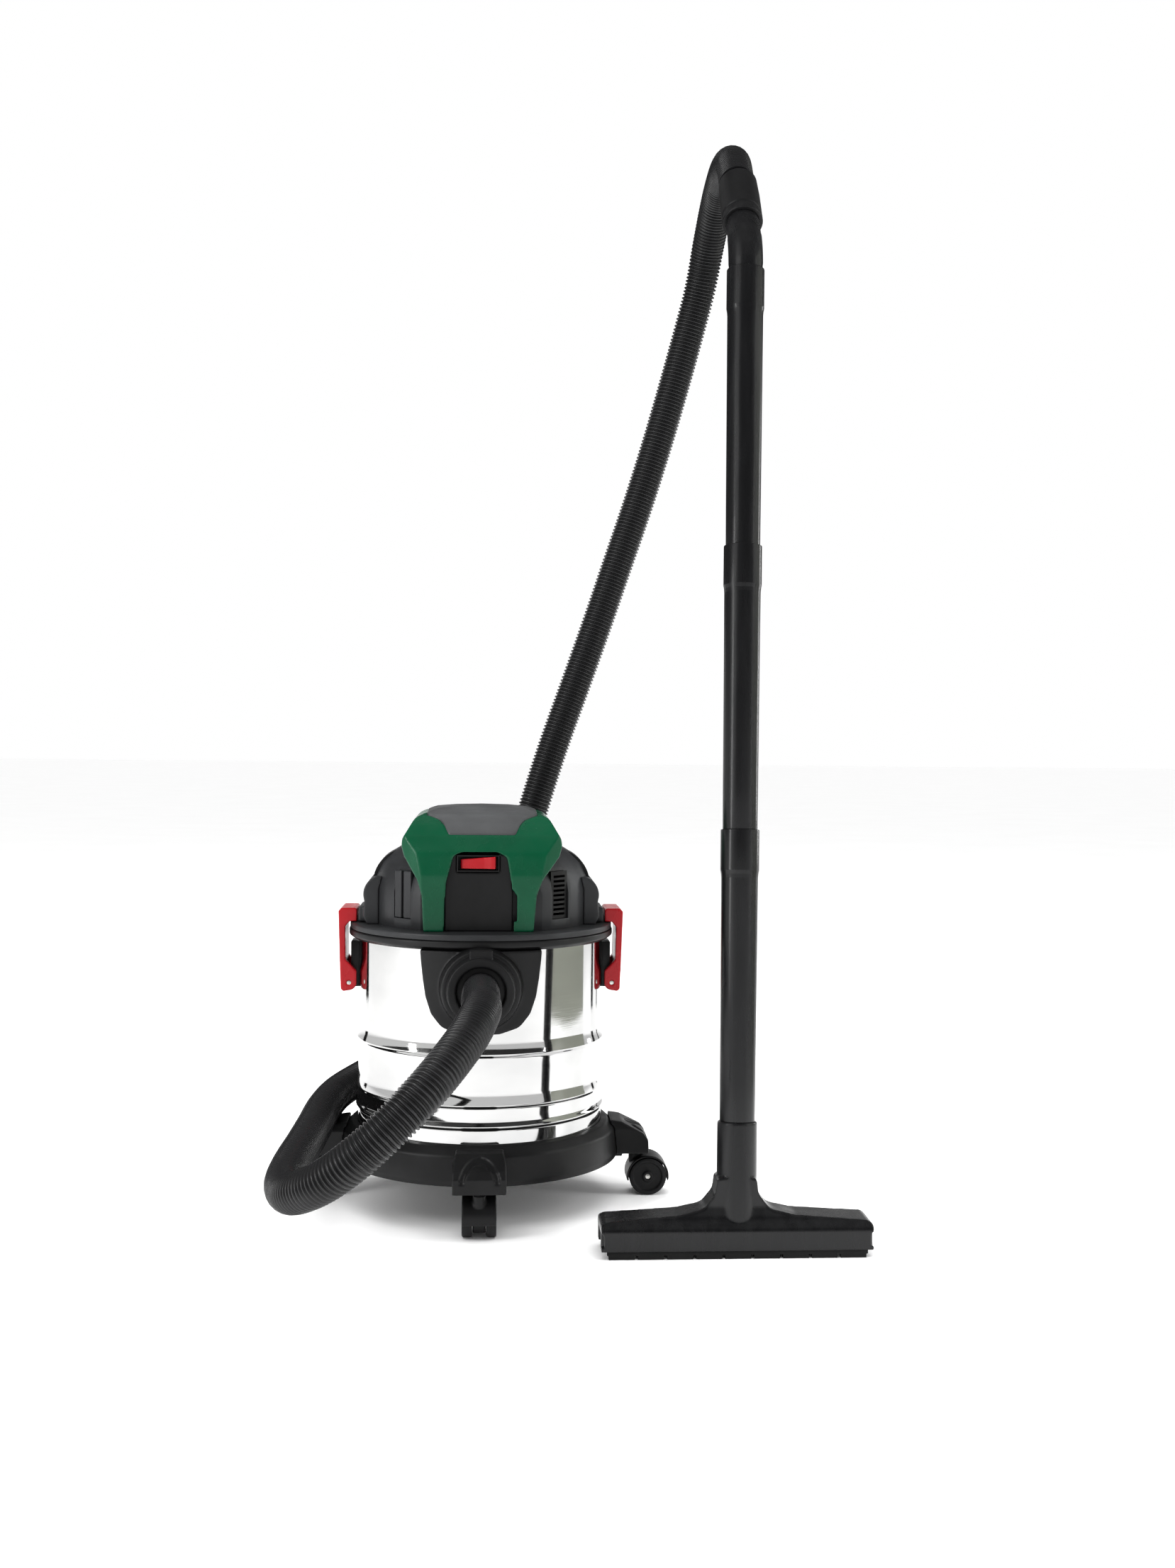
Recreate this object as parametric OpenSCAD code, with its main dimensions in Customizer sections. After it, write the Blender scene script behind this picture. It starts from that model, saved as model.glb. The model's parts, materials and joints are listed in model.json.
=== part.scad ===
// Wet and dry shop vacuum: steel tank on four casters, lift-off motor head,
// ribbed suction hose and a three-tube wand with a floor nozzle.
// Millimetres, +Z up. The shapes are drawn about the tank's axis and then moved
// so that the origin lies under the middle of the whole machine.

/* [Tank] */
// Outer radius of the steel tank
tank_r = 138; // [137:0.5:139]
// Height of the tank's underside above the floor
tank_z0 = 73; // [72:0.5:74]
// Height of the tank's rolled top edge
tank_z1 = 300; // [299:0.5:301]
// Thickness of the steel sheet
sheet_t = 1.2; // [0.8:0.1:1.5]
// How far each rolled bead stands out of the tank wall
bead_out = 2.4; // [1:0.1:2.6]

/* [Inlet] */
// Height of the suction inlet's axis
inlet_z = 257; // [255:1:259]
// Bore radius of the inlet
inlet_r = 31; // [30:0.5:31.5]

/* [Casters] */
// Distance of each swivel stem from the tank's axis
stem_ring = 178; // [176:1:180]
// Horizontal distance from the stem to the wheel axle
trail = 14; // [12:1:15]
// Radius of a caster wheel
wheel_r = 21; // [20:0.5:22]
// Width over both wheels of a caster
caster_w = 36; // [34:1:38]

/* [Wand] */
// Visible length of one push-fit tube
tube_pitch = 298; // [297:0.5:299]
// Outer radius at the lower, narrow end of a tube
tube_r0 = 18; // [17.8:0.1:18.3]
// Outer radius at the upper, socket end of a tube
tube_r1 = 20; // [19.5:0.1:20.5]
// Bore radius of the tubes
bore_r = 15; // [14.5:0.1:15.3]
// Width of the floor nozzle
nozzle_w = 276; // [274:1:278]

/* [Hose] */
// Outer radius of the ribbed hose
hose_r = 20; // [19:0.5:20]

/* [Hidden] */
$fn = 128;

// Where the machine's own frame sits, measured from the tank's axis
frame_x = 91;
frame_y = -17;
gap = 0.05;               // running clearance of a pin in its hole, on the radius

// Tank and base
bead_z = [185, 131, 108];
bead_h = 5;
collar_r = 148.7;
collar_z0 = 296;
collar_z1 = 306;
base_r = 157;
base_z0 = 49;
base_z1 = 89;

// Inlet
shield_r = 150;
shield_z1 = collar_z0 - 0.1;
flange_y = -161;
connector_y = -176;
hose_seat_y = -168;

// Latches
latch_w = 54;
latch_pin_x = 147.5;
latch_pin_z = 245;
latch_pin_r = 2.5;
bracket_w = 33;

// Casters: the direction each one points, and which way its wheels trail
caster_dir = [270, 180, 0, 90];
caster_trail = [90, 180, 0, 90];
hood_r = 24;
stem_r = 4;
axle_r = 3;
wheel_gap = 15;
boss_z0 = 48;
foot_z0 = 46.2;          // underside of the foot that hooks under the skirt
tongue_z0 = 65;          // underside of the tongue that is screwed below the tank

// Motor head
head_z = 313;
rim_z0 = collar_z1 + 0.4;
panel_y = -106;
switch_x = -4;
switch_z = 386;
rocker_y = -104;         // axis the rocker tips about
float_r = 21;
cage_r = 46;
screw_ring = 115;
screw_at = [0:60:300];
post_h = 8;
filter_r = 76;
filter_z0 = 222;

// Wand frame: foot, lean back and lean to the right
wand_foot = [260, -225, 40];
lean_back = 5.99;
lean_side = 0.81;
neck_top = 92;
joint_t = [for (i = [0:3]) neck_top + i * tube_pitch];
spigot = 34;
bend_t = joint_t[3] + 4;
bend_r = 70;
bend_a = 32;
grip_l = 24;
cuff_l = 72;
nozzle_y0 = -250;
nozzle_y1 = -194;
nozzle_z0 = 8;
nozzle_z1 = 43;

// Route of the hose, from the connector round the left side and up to the cuff
hose_route = [
    [0, -168, 257], [0, -235, 257], [0, -290, 256], [-14, -351, 240], [-47, -398, 206],
    [-90, -417, 165], [-133, -406, 128], [-168, -368, 104], [-184, -308, 95],
    [-186, -240, 95], [-182, -165, 97], [-178, -90, 100], [-175, -20, 102.5], [-165, 45, 106],
    [-140, 100, 113], [-100, 148, 126], [-54, 180, 155], [-13, 202, 204], [17, 207, 272],
    [41, 209, 350], [64, 208, 430], [89, 209, 510], [117, 211, 590], [143, 213, 665],
    [168, 214, 740], [193, 214, 815], [216, 212, 890], [237, 208, 965], [254, 202, 1030],
    [267, 190, 1085], [274, 163, 1136], [278, 116, 1174], [279, 58, 1187],
    [278, -1, 1174], [275.5, -48.2, 1136]
];
hose_sides = 10;
hose_steps = 2;

// ---------------------------------------------------------------- helpers
module at_machine() { translate([-frame_x, -frame_y, 0]) children(); }
module at_wand() {
    at_machine() translate(wand_foot) rotate([-lean_back, lean_side, 0]) children();
}
// A bar or hole along Y, from y0 to y1, at (x, z)
module along_y(x, z, y0, y1, r, r_end = 0) {
    translate([x, y1, z]) rotate([90, 0, 0])
        cylinder(r1 = r_end > 0 ? r_end : r, r2 = r, h = y1 - y0);
}
// An outline in X and Z given thickness along Y
module slab_xz(y0, y1, outline) {
    translate([0, y1, 0]) rotate([90, 0, 0]) linear_extrude(y1 - y0) polygon(outline);
}
// An outline in Y and Z given thickness along X
module slab_yz(x0, x1, outline) {
    translate([x0, 0, 0]) rotate([90, 0, 90]) linear_extrude(x1 - x0) polygon(outline);
}
module box(low, high) { translate(low) cube(high - low); }
module tube(r_out, r_in, z0, z1) {
    translate([0, 0, z0]) difference() {
        cylinder(r = r_out, h = z1 - z0);
        translate([0, 0, -1]) cylinder(r = r_in, h = z1 - z0 + 2);
    }
}
module both_sides() {
    children();
    mirror([1, 0, 0]) children();
}
function arc(cx, cy, r, a0, a1, n = 8) =
    [for (i = [0:n]) [cx + r * cos(a0 + (a1 - a0) * i / n), cy + r * sin(a0 + (a1 - a0) * i / n)]];

// ---------------------------------------------------------------- tank
function wall_line(r) = concat(
    [[r, tank_z0 + 6]],
    [for (i = [2:-1:0]) for (p = [[0, -bead_h], [bead_out, -2], [bead_out, 2], [0, bead_h]])
        [r + p[0], bead_z[i] + p[1]]],
    [[r, tank_z1]]);
function reversed(v) = [for (i = [len(v) - 1:-1:0]) v[i]];

module tank() {
    inner = tank_r - sheet_t;
    color("gainsboro") at_machine() difference() {
        rotate_extrude() polygon(concat(
            [[0, tank_z0], [tank_r - 6, tank_z0]], wall_line(tank_r),
            reversed(wall_line(inner)), [[tank_r - 6.5, tank_z0 + sheet_t], [0, tank_z0 + sheet_t]]));
        along_y(0, inlet_z, -160, -100, inlet_r - 4);
    }
}

module tank_collar() {
    color("dimgray") at_machine() rotate_extrude() polygon([
        [tank_r, collar_z0], [144, collar_z0], [collar_r, 299.5], [collar_r, collar_z1 - 2],
        [collar_r - 2, collar_z1], [133, collar_z1], [133, tank_z1], [tank_r, tank_z1]]);
}

module base_ring() {
    color("dimgray") at_machine() difference() {
        rotate_extrude() polygon([
            [tank_r + 0.2, base_z1], [145, base_z1 - 1], [base_r - 3, base_z1 - 9], [base_r, base_z0 + 6],
            [base_r, base_z0], [base_r - 3, base_z0], [base_r - 3.5, tank_z0 - 4],
            [50, tank_z0 - 4], [50, tank_z0], [tank_r - 5.8, tank_z0], [tank_r + 0.2, tank_z0 + 6]]);
        for (a = caster_dir) rotate([0, 0, a]) for (s = [-1, 1])
            translate([122, 14 * s, 60]) cylinder(r = 2.1, h = 30);
    }
}

module base_screws() {
    color("silver") at_machine() for (a = caster_dir) rotate([0, 0, a]) for (s = [-1, 1])
        translate([122, 14 * s, 0]) {
            translate([0, 0, tongue_z0]) cylinder(r = 2.1, h = tank_z0 - tongue_z0 - 0.2);
            translate([0, 0, tongue_z0 - 3.2]) cylinder(r = 4, h = 3.2);
        }
}

// ---------------------------------------------------------------- inlet
module inlet_shield() {
    outline = concat(
        [[66, shield_z1], [-66, shield_z1], [-62, 275]],
        arc(-14, 247, 38, 172, 270, 10), arc(14, 247, 38, 270, 368, 10), [[62, 275]]);
    color("dimgray") at_machine() difference() {
        union() {
            intersection() {
                slab_xz(-152, -90, outline);
                cylinder(r = shield_r, h = 400);
            }
            along_y(0, inlet_z, flange_y, -132, 41, 46);
        }
        cylinder(r = tank_r, h = 400);
        along_y(0, inlet_z, -170, -100, inlet_r);
        box([-60, -170, shield_z1], [60, -100, 320]);
    }
}

module inlet_gasket() {
    color("black") at_machine() difference() {
        along_y(0, inlet_z, -147, -128, inlet_r - 0.05);
        along_y(0, inlet_z, -150, -100, 24.4);
        cylinder(r = tank_r, h = 400);
    }
}

module inlet_deflector() {
    color("dimgray") at_machine() difference() {
        union() {
            along_y(0, inlet_z, -135.2, -112, inlet_r - 4);
            box([-31, -114, 214], [31, -86, 290]);
        }
        along_y(0, inlet_z, -140, -110, 24.7);
        box([-28, -111, 210], [28, -89, 287]);
    }
}

module hose_connector() {
    color("dimgray") at_machine() difference() {
        union() {
            along_y(0, inlet_z, flange_y - 2, -147.3, inlet_r - gap);
            along_y(0, inlet_z, connector_y, flange_y - 0.3, 35, 37);
            along_y(0, inlet_z, -147.3, -120, 24.3);
            box([-12, connector_y + 4, inlet_z + 30], [12, flange_y - 0.4, inlet_z + 43]);
        }
        along_y(0, inlet_z, connector_y - 1, hose_seat_y, 26);
        along_y(0, inlet_z, -180, -100, 16.5);
    }
}

// ---------------------------------------------------------------- latches
// Outlines of the right latch in X and Z
latch_back = [[139, 314], [139, 327], [141, 329], [156, 329], [159.5, 325.5], [157.5, 258],
    [151.2, 258], [152, 308], [147.2, 314]];
latch_cheek = concat(
    [[157.5, 262], [156.6, 238], [154, 235.5]],
    arc(latch_pin_x, latch_pin_z, 8.5, 265, 170, 6), [[139.2, 258], [151.5, 271]]);

module latch() {
    difference() {
        union() {
            slab_xz(-latch_w / 2, latch_w / 2, latch_back);
            for (s = [-1, 1]) translate([0, s * 22, 0]) slab_xz(-5, 5, latch_cheek);
        }
        along_y(latch_pin_x, latch_pin_z, -40, 40, latch_pin_r + gap);
    }
}
module latch_right() { color("crimson") at_machine() latch(); }
module latch_left() { color("crimson") at_machine() mirror([1, 0, 0]) latch(); }

module latch_brackets() {
    color("black") at_machine() both_sides() difference() {
        slab_xz(-bracket_w / 2, bracket_w / 2, [[130, 240], [148, 239], [150.4, 242], [150.4, 250],
            [146, 262], [146, 290], [130, 290]]);
        cylinder(r = tank_r, h = 400);
        along_y(latch_pin_x, latch_pin_z, -40, 40, latch_pin_r);
    }
}
module latch_pins() {
    color("silver") at_machine() both_sides()
        along_y(latch_pin_x, latch_pin_z, -latch_w / 2 + 0.5, latch_w / 2 - 0.5, latch_pin_r);
}

// ---------------------------------------------------------------- casters
// The outside of the base skirt, as a solid of revolution
module skirt() {
    rotate_extrude() polygon([[0, 40], [base_r, 40], [base_r, base_z0 + 6], [base_r - 3, base_z1 - 9],
        [145, base_z1 - 1], [0, base_z1 - 1]]);
}
// A caster arm: it hugs the skirt, hooks under it and is screwed below the tank
module caster_bracket(i) {
    arm = [[base_r - 9, 88], [base_r + 4, 86], [stem_ring + 8, 73], [stem_ring + 13, 66],
        [stem_ring + 14, 50], [base_r - 9, 50]];
    at_machine() rotate([0, 0, caster_dir[i]]) difference() {
        union() {
            difference() {
                slab_xz(-28, 28, arm);
                skirt();
                difference() {
                    box([base_r + 6, -25, 40], [stem_ring + 11, 25, 62]);
                    for (y = [-14, 14]) box([base_r, y - 1.2, 30], [stem_ring + 20, y + 1.2, 70]);
                }
            }
            translate([stem_ring, 0, boss_z0]) cylinder(r = 10, h = 16);
            intersection() {
                box([base_r - 9, -22, foot_z0], [base_r + 5, 22, base_z0]);
                difference() {
                    cylinder(r = base_r + 3, h = 100);
                    cylinder(r = base_r - 7, h = 100);
                }
            }
            box([base_r + 1, -22, foot_z0], [base_r + 5, 22, 51]);
            intersection() {
                union() {
                    box([112, -20, tongue_z0], [base_r, 20, tank_z0 - 4]);
                    box([base_r - 9, -20, foot_z0], [base_r, 20, tank_z0 - 4]);
                }
                cylinder(r = base_r - 4, h = 100);
            }
        }
        translate([stem_ring, 0, 40]) cylinder(r = stem_r + gap, h = 26);
        for (s = [-1, 1]) translate([122, 14 * s, 50]) cylinder(r = 2.1, h = 20);
    }
}

module at_caster(i) {
    at_machine() rotate([0, 0, caster_dir[i]]) translate([stem_ring, 0, 0])
        rotate([0, 0, caster_trail[i] - caster_dir[i]]) children();
}

module caster_fork(i) {
    core = wheel_gap / 2 - 0.6;
    at_caster(i) difference() {
        union() {
            translate([trail, 0, 0]) {
                along_y(0, wheel_r, -core, core, 17);
                difference() {
                    along_y(0, wheel_r, -caster_w / 2, caster_w / 2, hood_r);
                    along_y(0, wheel_r, -caster_w, caster_w, wheel_r + 1);
                    box([-40, -40, -10], [40, 40, wheel_r - 4]);
                }
                box([-16, -core, wheel_r], [10, core, wheel_r + hood_r - 2]);
            }
            translate([0, 0, 35]) cylinder(r = 7, h = 12.6);
            translate([0, 0, 30]) cylinder(r = stem_r, h = 34);
        }
        translate([trail, 0, 0]) {
            along_y(0, wheel_r, -30, 30, axle_r);
            for (s = [-1, 1]) translate([0, s * (core + 12), 0])
                along_y(0, wheel_r, -12, 12, wheel_r + 1);
        }
    }
}
module caster_axle(i) {
    at_caster(i) along_y(trail, wheel_r, -caster_w / 2 + 1.5, caster_w / 2 - 1.5, axle_r);
}
module caster_wheels(i) {
    at_caster(i) for (s = [-1, 1]) difference() {
        translate([0, s * (caster_w + wheel_gap) / 4, 0])
            along_y(trail, wheel_r, -(caster_w - wheel_gap) / 4, (caster_w - wheel_gap) / 4, wheel_r);
        along_y(trail, wheel_r, -40, 40, axle_r + gap);
        translate([0, s * (caster_w / 2 + 1), 0]) difference() {
            along_y(trail, wheel_r, -4, 4, 16);
            along_y(trail, wheel_r, -5, 5, 6);
        }
    }
}
module front_caster_bracket() { color("dimgray") caster_bracket(0); }
module left_caster_bracket() { color("dimgray") caster_bracket(1); }
module right_caster_bracket() { color("dimgray") caster_bracket(2); }
module rear_caster_bracket() { color("dimgray") caster_bracket(3); }
module front_caster_fork() { color("gray") caster_fork(0); }
module left_caster_fork() { color("gray") caster_fork(1); }
module right_caster_fork() { color("gray") caster_fork(2); }
module rear_caster_fork() { color("gray") caster_fork(3); }
module front_caster_axle() { color("silver") caster_axle(0); }
module left_caster_axle() { color("silver") caster_axle(1); }
module right_caster_axle() { color("silver") caster_axle(2); }
module rear_caster_axle() { color("silver") caster_axle(3); }
module front_caster_wheels() { color("darkslategray") caster_wheels(0); }
module left_caster_wheels() { color("darkslategray") caster_wheels(1); }
module right_caster_wheels() { color("darkslategray") caster_wheels(2); }
module rear_caster_wheels() { color("darkslategray") caster_wheels(3); }

// ---------------------------------------------------------------- motor head shells
module head_base() {
    color("gray") at_machine() difference() {
        rotate_extrude() polygon([
            [30, head_z - 3], [30, head_z], [147, head_z], [147.6, head_z - 1], [147.6, rim_z0],
            [132, rim_z0], [132, 292], [129, 292], [129, head_z - 4], [54, head_z - 4],
            [54, 299], [51, 299], [51, head_z - 3]]);
        for (a = screw_at) rotate([0, 0, a]) translate([screw_ring, 0, 300]) cylinder(r = 2.1, h = 20);
    }
}
module head_gasket() {
    color("black") at_machine() tube(146, 133.5, collar_z1, rim_z0);
}
module head_screws() {
    color("silver") at_machine() for (a = screw_at) rotate([0, 0, a]) translate([screw_ring, 0, 0]) {
        translate([0, 0, head_z - 8.5]) cylinder(r = 4, h = 4.5);
        translate([0, 0, head_z - 4]) cylinder(r = 2.1, h = post_h + 3);
    }
}

// Outline of the upper housing, radius against height, and its inside
shell_out = [[122, head_z], [122, 352], [119, 366], [112, 380], [100, 392], [84, 402], [60, 409]];
shell_in = [[57, 406], [82.5, 399], [98, 389], [109, 378], [116, 365], [119, 351], [119, head_z]];

module shell() {
    rotate_extrude() polygon(concat([[0, head_z], [0, 409]], reversed(shell_out)));
}
module posts() {
    for (a = screw_at) rotate([0, 0, a]) translate([screw_ring, 0, head_z]) cylinder(r = 5, h = post_h);
}

module motor_housing() {
    color("gray") at_machine() difference() {
        shell();
        difference() {
            rotate_extrude() polygon(concat([[0, head_z - 1], [0, 406]], shell_in,
                [[119, head_z - 1]]));
            posts();
            box([-70, panel_y + 3, head_z], [70, panel_y + 6, 396]);
        }
        for (a = screw_at) rotate([0, 0, a]) translate([screw_ring, 0, 300])
            cylinder(r = 2.1, h = 13 + post_h);
        // flat front, where the panel and the cover's legs stand
        box([-130, -140, head_z - 1], [130, panel_y + 3, 420]);
        // switch body, vents, blower port and cable gland
        box([switch_x - 23, panel_y, switch_z - 9], [switch_x + 23, panel_y + 20, switch_z + 9]);
        both_sides() rotate([0, 0, -45]) box([104, -13, 324], [130, 13, 376]);
        along_y(0, 345, 90, 140, 24);
        along_y(62, 330, 80, 140, 8);
    }
}

// Rounded cover over each side of the head, above the latch
ear = concat([[100, head_z], [127, head_z], [131, 322]], arc(110, 346, 21, -20, 95, 10), [[100, 366]]);
module side_cover() {
    difference() {
        union() {
            slab_xz(-46, 46, ear);
            slab_xz(-30, 30, [[100, 314], [136.5, 314], [137.5, 316], [137, 330], [120, 334], [100, 334]]);
        }
        shell();
    }
}
module side_cover_right() { color("silver") at_machine() side_cover(); }
module side_cover_left() { color("silver") at_machine() mirror([1, 0, 0]) side_cover(); }

// Black hoop that follows each shoulder of the housing
module side_trims() {
    color("black") at_machine() both_sides() difference() {
        slab_xz(-18, 18, concat(arc(82, 356, 40, -8, 72, 12), reversed(arc(82, 356, 36, -8, 72, 12))));
        shell();
        slab_xz(-50, 50, ear);
    }
}

// Green cover: two legs down the front and a bridge over the top
cover_top = 428;
cover_front = [[-65, head_z], [-40, head_z], [-42, 380], [-38, 391], [-30, 396], [30, 396],
    [38, 391], [42, 380], [40, head_z], [65, head_z], [70, 368], [84, 392], [86, 404],
    [85, 417], [76, cover_top], [-76, cover_top], [-85, 417], [-86, 404], [-84, 392], [-70, 368]];
cover_side = concat([[-118, head_z], [-115, 388]], arc(-83, 391, 32, 172, 100, 7),
    [[-66, cover_top], [66, cover_top], [74, 418], [74, 396], [-92, 396], [-103, 392],
    [-103, head_z]]);
module green_cover() {
    color("seagreen") at_machine() difference() {
        intersection() {
            slab_xz(-125, 80, cover_front);
            slab_yz(-100, 100, cover_side);
        }
        shell();
    }
}

module front_panel() {
    color("black") at_machine() difference() {
        intersection() {
            slab_xz(-115, panel_y + 3, [[-39.6, head_z], [39.6, head_z], [41.6, 380], [37.6, 390.8],
                [30, 395.7], [-30, 395.7], [-37.6, 390.8], [-41.6, 380]]);
            slab_yz(-60, 60, [[-113, head_z], [-111, 396], [-103, 396], [-103, head_z]]);
        }
        box([switch_x - 23, -120, switch_z - 9], [switch_x + 23, -100, switch_z + 9]);
    }
}

module top_cap() {
    color("gray") at_machine() {
        intersection() {
            slab_xz(-66, 66, concat([[-74, cover_top], [74, cover_top], [72, 435]],
                arc(0, 46, 399, 79.6, 100.4, 10), [[-72, 435]]));
            translate([0, 2, 0]) cylinder(r = 80, h = 500);
        }
        // tongue that laps down the front of the cover
        intersection() {
            slab_xz(-92, -60, [[-37, 420], [37, 420], [46, 433], [-46, 433]]);
            slab_yz(-60, 60, [[-60, cover_top], [-66, cover_top], [-88.6, 422.5], [-88.2, 424.3],
                [-66, 431.5], [-60, 432]]);
        }
    }
}

module vent_grilles() {
    color("dimgray") at_machine() both_sides() rotate([0, 0, -45]) difference() {
        box([112, -12.8, 324.2], [121, 12.8, 375.8]);
        for (i = [0:8]) box([108, -9, 328 + i * 5.1], [130, 9, 330.6 + i * 5.1]);
        difference() {
            cylinder(r = 140, h = 500);
            cylinder(r = 119.5, h = 500);
        }
    }
}

module blower_port() {
    color("dimgray") at_machine() difference() {
        union() {
            along_y(0, 345, 112, 140, 22);
            along_y(0, 345, 122.2, 126, 28);
        }
        along_y(0, 345, 100, 150, 17.5);
    }
}
module cable_gland() {
    color("black") at_machine() difference() {
        along_y(62, 330, 96, 116, 7.9);
        along_y(62, 330, 90, 120, 3.5);
    }
}

module switch_housing() {
    color("black") at_machine() difference() {
        box([switch_x - 22.8, -112.5, switch_z - 8.8], [switch_x + 22.8, panel_y + 14, switch_z + 8.8]);
        box([switch_x - 21.5, -120, switch_z - 7.5], [switch_x + 21.5, panel_y + 8, switch_z + 7.5]);
        translate([switch_x, rocker_y, switch_z - 10]) cylinder(r = 1.5, h = 20);
    }
}
// The rocker stands with its right end out
rocker_plan = [[-19, 0], [-19, -6.5], [-5, -9], [18.5, -15.5], [19.5, 0]];
module rocker_switch() {
    color("red") at_machine() translate([switch_x, rocker_y, switch_z]) {
        translate([0, 0, -7.2]) linear_extrude(14.4) polygon(rocker_plan);
        translate([0, 0, -8.6]) cylinder(r = 1.45, h = 17.2);
    }
}

// ---------------------------------------------------------------- motor and fan
module fan_case() {
    color("lightgray") at_machine() difference() {
        translate([0, 0, head_z]) cylinder(r = 66, h = 33);
        translate([0, 0, head_z + 3]) cylinder(r = 63, h = 27);
        translate([0, 0, head_z - 1]) cylinder(r = 22, h = 10);
        translate([0, 0, head_z + 25]) cylinder(r = 14, h = 20);
        for (a = [0:45:315]) rotate([0, 0, a]) box([58, -8, head_z + 8], [70, 8, head_z + 25]);
    }
}
module motor_stator() {
    color("silver") at_machine() difference() {
        tube(44, 31, head_z + 33, 400);
        for (a = [45:90:315]) rotate([0, 0, a]) box([36, -8, head_z + 50], [50, 8, 386]);
        box([-50, -6, 380], [50, 6, 390]);
    }
}
module motor_bearings() {
    color("silver") at_machine() {
        tube(14, 5 + gap, head_z + 26, head_z + 33);
        difference() {
            tube(31, 5 + gap, 392, 399);
            for (a = [0:60:300]) rotate([0, 0, a]) translate([20, 0, 380]) cylinder(r = 6, h = 30);
        }
    }
}
module motor_rotor() {
    color("peru") at_machine() {
        translate([0, 0, head_z + 6]) cylinder(r = 5, h = 402 - head_z - 6);
        translate([0, 0, head_z + 38]) cylinder(r = 28, h = 30);
        translate([0, 0, head_z + 70]) cylinder(r = 14, h = 7);
        translate([0, 0, head_z + 20]) cylinder(r = 58, h = 1.5);
        tube(58, 24, head_z + 6, head_z + 7.5);
        for (a = [0:30:330]) rotate([0, 0, a]) box([24, -0.8, head_z + 7], [57, 0.8, head_z + 20.5]);
    }
}

// ---------------------------------------------------------------- float and filter
module float_cage() {
    color("dimgray") at_machine() difference() {
        tube(cage_r, cage_r - 3, 234, head_z - 3);
        for (a = [0:60:300]) rotate([0, 0, a]) box([30, -14, 242], [60, 14, 292]);
    }
    color("dimgray") at_machine() difference() {
        translate([0, 0, 231]) cylinder(r = cage_r, h = 3);
        for (a = [0:60:300]) rotate([0, 0, a]) translate([28, 0, 220]) cylinder(r = 9, h = 30);
    }
    color("dimgray") at_machine() tube(cage_r - 2, 18, head_z - 6, head_z - 3);
    color("dimgray") at_machine() for (a = [30:120:270]) rotate([0, 0, a])
        box([float_r + 2.2, -2, 233], [cage_r - 2, 2, head_z - 5]);
}
module float_ball() {
    color("orange") at_machine() translate([0, 0, 234.3 + float_r]) difference() {
        sphere(r = float_r);
        sphere(r = float_r - 2);
    }
}
module filter_cartridge() {
    color("beige") at_machine() difference() {
        tube(filter_r, cage_r + 3, filter_z0, 299);
        for (a = [0:15:345]) rotate([0, 0, a]) translate([filter_r + 2, 0, filter_z0 + 5])
            cylinder(r = 5, h = 298 - filter_z0 - 9);
    }
}
module filter_cap() {
    color("dimgray") at_machine() {
        difference() {
            translate([0, 0, filter_z0 - 4]) cylinder(r = filter_r, h = 4);
            for (a = [0:60:300]) rotate([0, 0, a]) translate([30, 0, 200]) cylinder(r = 8, h = 30);
        }
        translate([0, 0, filter_z0 - 12]) cylinder(r = 9, h = 8);
        translate([0, 0, filter_z0]) cylinder(r = 5, h = 9);
    }
}

// ---------------------------------------------------------------- wand
// A push-fit tube: its narrow end goes down into the piece below
module wand_tube(i) {
    at_wand() rotate_extrude() polygon([
        [bore_r, joint_t[i] - spigot], [16.9, joint_t[i] - spigot], [16.95, joint_t[i]],
        [tube_r0, joint_t[i]], [tube_r0 + 0.3, joint_t[i] + 40], [tube_r1 - 0.4, joint_t[i + 1] - 44],
        [tube_r1, joint_t[i + 1] - 40], [tube_r1, joint_t[i + 1] - 1], [tube_r1 - 0.8, joint_t[i + 1]],
        [17, joint_t[i + 1]], [17, joint_t[i + 1] - spigot - 1],
        [bore_r, joint_t[i + 1] - spigot - 4]]);
}
module lower_tube() { color("dimgray") wand_tube(0); }
module middle_tube() { color("dimgray") wand_tube(1); }
module upper_tube() { color("dimgray") wand_tube(2); }

// Bent handle: a spigot, a bend towards the rear, and a short straight grip
module pipe_bend(r) {
    translate([0, bend_r, bend_t]) rotate([90, 0, 90])
        rotate_extrude(angle = bend_a, start = 180 - bend_a) translate([bend_r, 0]) circle(r = r);
}
module at_grip() {
    translate([0, bend_r, bend_t]) rotate([-bend_a, 0, 0]) translate([0, -bend_r, 0]) children();
}
module handle_tube() {
    t3 = joint_t[3];
    swell = 0.6;          // the formed bend stands a little proud of the straight ends
    color("dimgray") at_wand() difference() {
        union() {
            translate([0, 0, t3 - spigot]) cylinder(r = 16.9, h = spigot);
            translate([0, 0, t3]) cylinder(r = tube_r0, h = bend_t - t3);
            pipe_bend(tube_r0 + swell);
            at_grip() cylinder(r = tube_r0, h = grip_l + 20);
        }
        translate([0, 0, t3 - spigot - 1]) cylinder(r = bore_r, h = bend_t - t3 + spigot + 1);
        pipe_bend(bore_r - swell);
        at_grip() cylinder(r = bore_r, h = grip_l + 21);
    }
}
module hose_cuff() {
    color("dimgray") at_wand() at_grip() rotate_extrude() polygon([
        [tube_r0 + gap, grip_l], [21.4, grip_l], [22, grip_l + 1], [22, grip_l + 44],
        [21, grip_l + cuff_l], [16.5, grip_l + cuff_l], [16.5, grip_l + 20], [tube_r0 + gap, grip_l + 20]]);
}

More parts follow.
